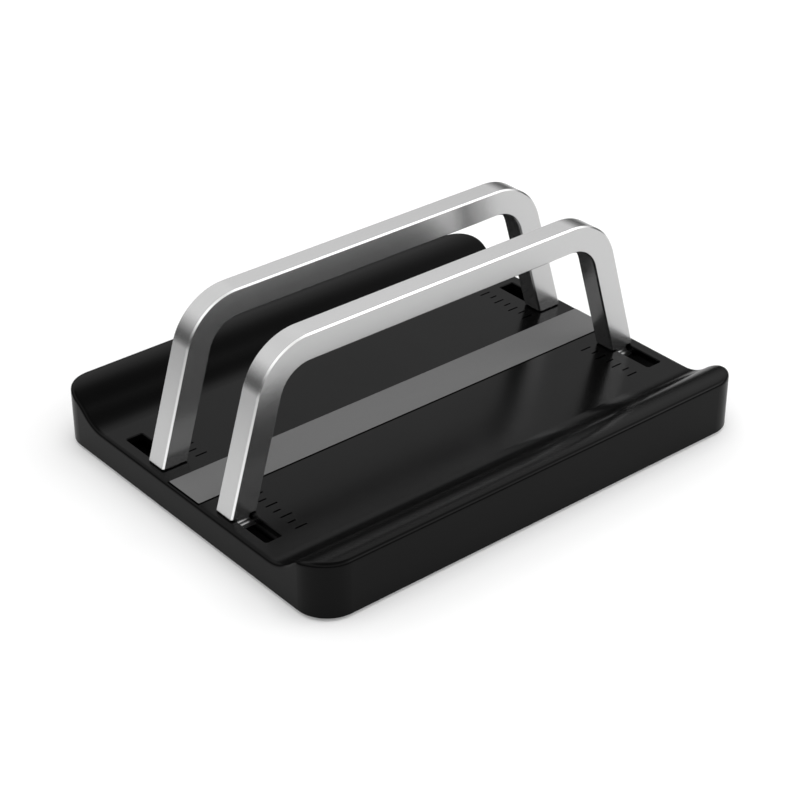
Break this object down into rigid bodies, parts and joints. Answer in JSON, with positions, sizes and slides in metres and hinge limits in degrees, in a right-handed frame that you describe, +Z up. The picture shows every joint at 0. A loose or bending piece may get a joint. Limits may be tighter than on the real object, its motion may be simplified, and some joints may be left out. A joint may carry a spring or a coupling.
{
  "type": "vertical laptop stand",
  "caption": "Moulded black base with raised side lips and a soft middle strip, across which sliding metal hoops stand to hold a closed laptop upright on its edge.",
  "frame": {"origin": "on the surface the stand rests on, under the middle of the base", "axes": "+Z up, +X along the hoops and the longer side of the base, -Y towards the front"},
  "size_m": [0.17, 0.1344, 0.0629],
  "materials": {
    "base_plastic": "black ABS, satin with a soft sheen",
    "cover_plastic": "black ABS, fine matte texture",
    "strip_silicone": "mid grey silicone, matte",
    "hoop_aluminium": "fine blasted and clear anodised, with bright cut chamfers",
    "plate_steel": "zinc plated",
    "washer_steel": "zinc plated spring steel",
    "screw_steel": "black oxide",
    "foot_rubber": "soft black rubber, matte"
  },
  "bodies": {
    "base": {"base_shell": "base_plastic", "centre_strip": "strip_silicone", "bottom_cover": "cover_plastic", "cover_screws": "screw_steel", "front_left_foot": "foot_rubber", "front_right_foot": "foot_rubber", "rear_left_foot": "foot_rubber", "rear_right_foot": "foot_rubber"},
    "front_slider": {"front_hoop": "hoop_aluminium", "front_left_slide_plate": "plate_steel", "front_left_lock_washer": "washer_steel", "front_left_clamp_screw": "screw_steel", "front_right_slide_plate": "plate_steel", "front_right_lock_washer": "washer_steel", "front_right_clamp_screw": "screw_steel"},
    "rear_slider": {"rear_hoop": "hoop_aluminium", "rear_left_slide_plate": "plate_steel", "rear_left_lock_washer": "washer_steel", "rear_left_clamp_screw": "screw_steel", "rear_right_slide_plate": "plate_steel", "rear_right_lock_washer": "washer_steel", "rear_right_clamp_screw": "screw_steel"}
  },
  "joints": [
    {"name": "front_slide", "type": "slide", "parent": "base", "child": "front_slider", "axis": [0, -1, 0], "range_m": [0, 0.015]},
    {"name": "rear_slide", "type": "slide", "parent": "base", "child": "rear_slider", "axis": [0, 1, 0], "range_m": [0, 0.015]}
  ]
}
